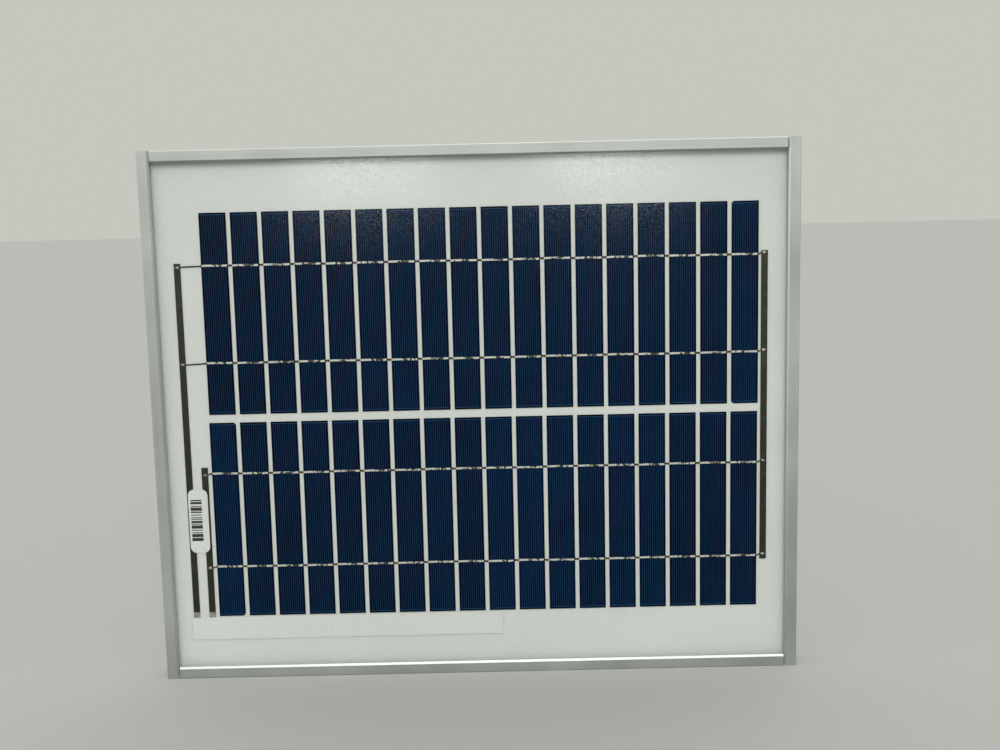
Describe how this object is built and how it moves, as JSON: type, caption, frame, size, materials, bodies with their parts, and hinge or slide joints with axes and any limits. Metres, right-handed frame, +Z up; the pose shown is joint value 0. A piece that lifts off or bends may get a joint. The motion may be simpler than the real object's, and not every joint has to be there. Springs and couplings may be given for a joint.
{
  "type": "solar panel",
  "caption": "Small framed photovoltaic panel with narrow crystalline cell strips under glass, an aluminium rail frame and a hinged-lid junction box behind.",
  "frame": {"origin": "middle of the face that the panel stands on", "axes": "+X to the right across the glass, +Y from the glass towards the back, +Z up"},
  "size_m": [0.5, 0.025, 0.415],
  "materials": {
    "anodised_frame": "satin clear anodised, faint extrusion lines",
    "screw_steel": "bright zinc",
    "gasket_rubber": "matte black",
    "front_glass": "clear, smooth, slightly dusty",
    "clear_film": "clear cast film",
    "white_backsheet": "pale grey-white, fine weave",
    "silicon_cell": "dark blue crystalline silicon with printed silver fingers",
    "bus_ribbon": "tinned copper, dull olive",
    "label_paper": "matte white with black bars",
    "box_plastic": "black moulded, fine grain",
    "terminal_plastic": "cream moulded",
    "diode_plastic": "black with one pale band"
  },
  "bodies": {
    "panel": {"left_rail": "anodised_frame", "right_rail": "anodised_frame", "bottom_rail": "anodised_frame", "top_rail": "anodised_frame", "screw_bottom_left": "screw_steel", "screw_top_left": "screw_steel", "screw_bottom_right": "screw_steel", "screw_top_right": "screw_steel", "edge_gasket": "gasket_rubber", "glass": "front_glass", "front_encapsulant": "clear_film", "rear_encapsulant": "clear_film", "backsheet": "white_backsheet", "cell_upper_01": "silicon_cell", "cell_upper_02": "silicon_cell", "cell_upper_03": "silicon_cell", "cell_upper_04": "silicon_cell", "cell_upper_05": "silicon_cell", "cell_upper_06": "silicon_cell", "cell_upper_07": "silicon_cell", "cell_upper_08": "silicon_cell", "cell_upper_09": "silicon_cell", "cell_upper_10": "silicon_cell", "cell_upper_11": "silicon_cell", "cell_upper_12": "silicon_cell", "cell_upper_13": "silicon_cell", "cell_upper_14": "silicon_cell", "cell_upper_15": "silicon_cell", "cell_upper_16": "silicon_cell", "cell_upper_17": "silicon_cell", "cell_upper_18": "silicon_cell", "cell_lower_01": "silicon_cell", "cell_lower_02": "silicon_cell", "cell_lower_03": "silicon_cell", "cell_lower_04": "silicon_cell", "cell_lower_05": "silicon_cell", "cell_lower_06": "silicon_cell", "cell_lower_07": "silicon_cell", "cell_lower_08": "silicon_cell", "cell_lower_09": "silicon_cell", "cell_lower_10": "silicon_cell", "cell_lower_11": "silicon_cell", "cell_lower_12": "silicon_cell", "cell_lower_13": "silicon_cell", "cell_lower_14": "silicon_cell", "cell_lower_15": "silicon_cell", "cell_lower_16": "silicon_cell", "cell_lower_17": "silicon_cell", "cell_lower_18": "silicon_cell", "bus_left_outer": "bus_ribbon", "bus_left_inner": "bus_ribbon", "bus_right": "bus_ribbon", "serial_label": "label_paper", "insulation_strip": "white_backsheet", "junction_box_base": "box_plastic", "lid_seal": "gasket_rubber", "terminal_block": "terminal_plastic", "bypass_diode": "diode_plastic", "cable_gland": "box_plastic"},
    "lid": {"junction_box_lid": "box_plastic"}
  },
  "joints": [
    {"name": "lid_hinge", "type": "hinge", "parent": "panel", "child": "lid", "pos_m": [0, 0.0093, 0.0905], "axis": [1, 0, 0], "range_deg": [0, 105]}
  ]
}
